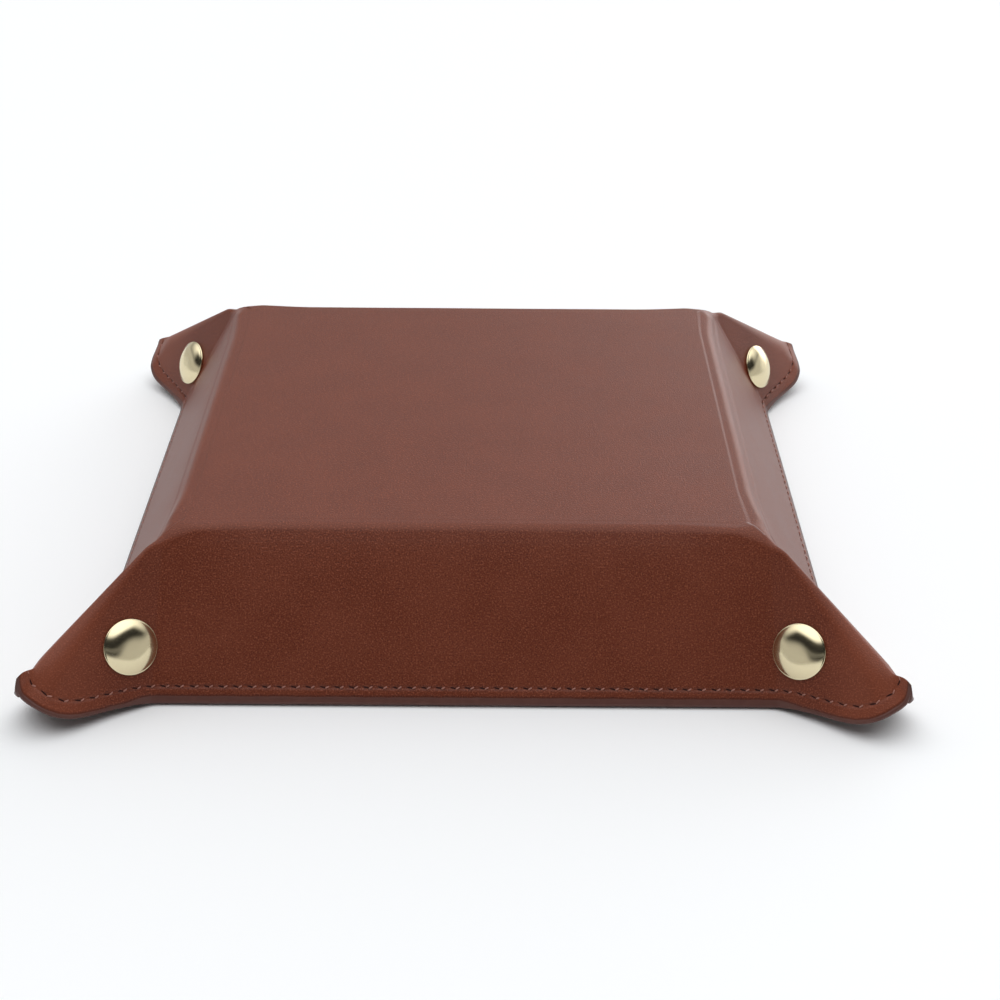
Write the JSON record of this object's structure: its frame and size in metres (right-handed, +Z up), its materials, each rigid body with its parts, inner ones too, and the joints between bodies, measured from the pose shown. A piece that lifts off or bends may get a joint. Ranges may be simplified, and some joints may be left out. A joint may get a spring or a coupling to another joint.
{
  "type": "valet tray",
  "caption": "Square leather catch-all tray with sloping walls and pinched, snap-fastened corner ears, lying upside down on its rim; it opens to a flat sheet.",
  "frame": {"origin": "on the surface that the upside-down tray stands on, under the middle of its base", "axes": "+Z up, out of the base's outer face, because the tray is modelled upside down on its rim as pictured; in use it is turned over and stands on that face. +X along one side and +Y along the next, with the front wall at -Y"},
  "size_m": [0.235, 0.235, 0.0417],
  "materials": {
    "leather": "smooth fine-grain brown leather, satin, edges painted dark",
    "lining": "smooth brown lining leather, matte",
    "board": "grey-brown fibre board",
    "thread": "waxed polyester thread",
    "brass": "polished pale gold plating"
  },
  "bodies": {
    "tray_base": {"base_leather": "leather", "base_board": "board", "base_lining": "lining"},
    "front_wall": {"front_wall_leather": "leather", "front_wall_board": "board", "front_wall_lining": "lining", "front_wall_thread": "thread"},
    "front_ear_left": {"front_ear_left_leather": "leather", "front_ear_left_lining": "lining", "front_cap_left": "brass", "front_socket_left": "brass"},
    "front_ear_left_fold": {"front_ear_left_ridge": "leather"},
    "front_ear_right": {"front_ear_right_leather": "leather", "front_ear_right_lining": "lining", "front_cap_right": "brass", "front_socket_right": "brass"},
    "front_ear_right_fold": {"front_ear_right_ridge": "leather"},
    "right_wall": {"right_wall_leather": "leather", "right_wall_board": "board", "right_wall_lining": "lining", "right_wall_thread": "thread"},
    "right_ear_front": {"right_ear_front_leather": "leather", "right_ear_front_lining": "lining", "right_cap_front": "brass", "right_stud_front": "brass"},
    "right_ear_front_fold": {"right_ear_front_ridge": "leather"},
    "right_ear_back": {"right_ear_back_leather": "leather", "right_ear_back_lining": "lining", "right_cap_back": "brass", "right_stud_back": "brass"},
    "right_ear_back_fold": {"right_ear_back_ridge": "leather"},
    "back_wall": {"back_wall_leather": "leather", "back_wall_board": "board", "back_wall_lining": "lining", "back_wall_thread": "thread"},
    "back_ear_right": {"back_ear_right_leather": "leather", "back_ear_right_lining": "lining", "back_cap_right": "brass", "back_socket_right": "brass"},
    "back_ear_right_fold": {"back_ear_right_ridge": "leather"},
    "back_ear_left": {"back_ear_left_leather": "leather", "back_ear_left_lining": "lining", "back_cap_left": "brass", "back_socket_left": "brass"},
    "back_ear_left_fold": {"back_ear_left_ridge": "leather"},
    "left_wall": {"left_wall_leather": "leather", "left_wall_board": "board", "left_wall_lining": "lining", "left_wall_thread": "thread"},
    "left_ear_back": {"left_ear_back_leather": "leather", "left_ear_back_lining": "lining", "left_cap_back": "brass", "left_stud_back": "brass"},
    "left_ear_back_fold": {"left_ear_back_ridge": "leather"},
    "left_ear_front": {"left_ear_front_leather": "leather", "left_ear_front_lining": "lining", "left_cap_front": "brass", "left_stud_front": "brass"},
    "left_ear_front_fold": {"left_ear_front_ridge": "leather"}
  },
  "joints": [
    {"name": "front_wall_fold", "type": "hinge", "parent": "tray_base", "child": "front_wall", "pos_m": [0, -0.08, 0.04172], "axis": [-1, 0, 0], "range_deg": [0, 60.3]},
    {"name": "front_ear_left_open", "type": "hinge", "parent": "front_wall", "child": "front_ear_left", "pos_m": [-0.08, -0.08, 0.04172], "axis": [-0.0523, -0.4948, -0.8674], "range_deg": [0, 31.1]},
    {"name": "front_ear_left_ridge_open", "type": "hinge", "parent": "front_ear_left", "child": "front_ear_left_fold", "pos_m": [-0.08, -0.08, 0.04172], "axis": [0.5788, 0.6529, 0.4886], "range_deg": [0, 64.35]},
    {"name": "front_ear_right_open", "type": "hinge", "parent": "front_wall", "child": "front_ear_right", "pos_m": [0.08, -0.08, 0.04172], "axis": [-0.0523, 0.4948, 0.8674], "range_deg": [0, 31.1]},
    {"name": "front_ear_right_ridge_open", "type": "hinge", "parent": "front_ear_right", "child": "front_ear_right_fold", "pos_m": [0.08, -0.08, 0.04172], "axis": [0.5788, -0.6529, -0.4886], "range_deg": [0, 64.35]},
    {"name": "right_wall_fold", "type": "hinge", "parent": "tray_base", "child": "right_wall", "pos_m": [0.08, 0, 0.04172], "axis": [0, -1, 0], "range_deg": [0, 60.31]},
    {"name": "right_ear_front_open", "type": "hinge", "parent": "right_wall", "child": "right_ear_front", "pos_m": [0.08, -0.08, 0.04172], "axis": [0.4948, -0.0523, -0.8674], "range_deg": [0, 31.1]},
    {"name": "right_ear_front_ridge_open", "type": "hinge", "parent": "right_ear_front", "child": "right_ear_front_fold", "pos_m": [0.08, -0.08, 0.04172], "axis": [-0.6529, 0.5788, 0.4886], "range_deg": [0, 64.35]},
    {"name": "right_ear_back_open", "type": "hinge", "parent": "right_wall", "child": "right_ear_back", "pos_m": [0.08, 0.08, 0.04172], "axis": [-0.4948, -0.0523, 0.8674], "range_deg": [0, 31.1]},
    {"name": "right_ear_back_ridge_open", "type": "hinge", "parent": "right_ear_back", "child": "right_ear_back_fold", "pos_m": [0.08, 0.08, 0.04172], "axis": [0.6529, 0.5788, -0.4886], "range_deg": [0, 64.35]},
    {"name": "back_wall_fold", "type": "hinge", "parent": "tray_base", "child": "back_wall", "pos_m": [0, 0.08, 0.04172], "axis": [1, 0, 0], "range_deg": [0, 60.31]},
    {"name": "back_ear_right_open", "type": "hinge", "parent": "back_wall", "child": "back_ear_right", "pos_m": [0.08, 0.08, 0.04172], "axis": [0.0523, 0.4948, -0.8674], "range_deg": [0, 31.1]},
    {"name": "back_ear_right_ridge_open", "type": "hinge", "parent": "back_ear_right", "child": "back_ear_right_fold", "pos_m": [0.08, 0.08, 0.04172], "axis": [-0.5788, -0.6529, 0.4886], "range_deg": [0, 64.35]},
    {"name": "back_ear_left_open", "type": "hinge", "parent": "back_wall", "child": "back_ear_left", "pos_m": [-0.08, 0.08, 0.04172], "axis": [0.0523, -0.4948, 0.8674], "range_deg": [0, 31.1]},
    {"name": "back_ear_left_ridge_open", "type": "hinge", "parent": "back_ear_left", "child": "back_ear_left_fold", "pos_m": [-0.08, 0.08, 0.04172], "axis": [-0.5788, 0.6529, -0.4886], "range_deg": [0, 64.35]},
    {"name": "left_wall_fold", "type": "hinge", "parent": "tray_base", "child": "left_wall", "pos_m": [-0.08, 0, 0.04172], "axis": [0, 1, 0], "range_deg": [0, 60.31]},
    {"name": "left_ear_back_open", "type": "hinge", "parent": "left_wall", "child": "left_ear_back", "pos_m": [-0.08, 0.08, 0.04172], "axis": [-0.4948, 0.0523, -0.8674], "range_deg": [0, 31.1]},
    {"name": "left_ear_back_ridge_open", "type": "hinge", "parent": "left_ear_back", "child": "left_ear_back_fold", "pos_m": [-0.08, 0.08, 0.04172], "axis": [0.6529, -0.5788, 0.4886], "range_deg": [0, 64.35]},
    {"name": "left_ear_front_open", "type": "hinge", "parent": "left_wall", "child": "left_ear_front", "pos_m": [-0.08, -0.08, 0.04172], "axis": [0.4948, 0.0523, 0.8674], "range_deg": [0, 31.1]},
    {"name": "left_ear_front_ridge_open", "type": "hinge", "parent": "left_ear_front", "child": "left_ear_front_fold", "pos_m": [-0.08, -0.08, 0.04172], "axis": [-0.6529, -0.5788, -0.4886], "range_deg": [0, 64.35]}
  ],
  "couplings": [
    {"joint": "front_ear_left_open", "follows": "front_wall_fold", "ratio": 0.51565},
    {"joint": "front_ear_left_ridge_open", "follows": "front_wall_fold", "ratio": 1.0669},
    {"joint": "front_ear_right_open", "follows": "front_wall_fold", "ratio": 0.51565},
    {"joint": "front_ear_right_ridge_open", "follows": "front_wall_fold", "ratio": 1.0669},
    {"joint": "right_wall_fold", "follows": "front_wall_fold", "ratio": 1},
    {"joint": "right_ear_front_open", "follows": "front_wall_fold", "ratio": 0.51565},
    {"joint": "right_ear_front_ridge_open", "follows": "front_wall_fold", "ratio": 1.0669},
    {"joint": "right_ear_back_open", "follows": "front_wall_fold", "ratio": 0.51565},
    {"joint": "right_ear_back_ridge_open", "follows": "front_wall_fold", "ratio": 1.0669},
    {"joint": "back_wall_fold", "follows": "front_wall_fold", "ratio": 1},
    {"joint": "back_ear_right_open", "follows": "front_wall_fold", "ratio": 0.51565},
    {"joint": "back_ear_right_ridge_open", "follows": "front_wall_fold", "ratio": 1.0669},
    {"joint": "back_ear_left_open", "follows": "front_wall_fold", "ratio": 0.51565},
    {"joint": "back_ear_left_ridge_open", "follows": "front_wall_fold", "ratio": 1.0669},
    {"joint": "left_wall_fold", "follows": "front_wall_fold", "ratio": 1},
    {"joint": "left_ear_back_open", "follows": "front_wall_fold", "ratio": 0.51565},
    {"joint": "left_ear_back_ridge_open", "follows": "front_wall_fold", "ratio": 1.0669},
    {"joint": "left_ear_front_open", "follows": "front_wall_fold", "ratio": 0.51565},
    {"joint": "left_ear_front_ridge_open", "follows": "front_wall_fold", "ratio": 1.0669}
  ]
}
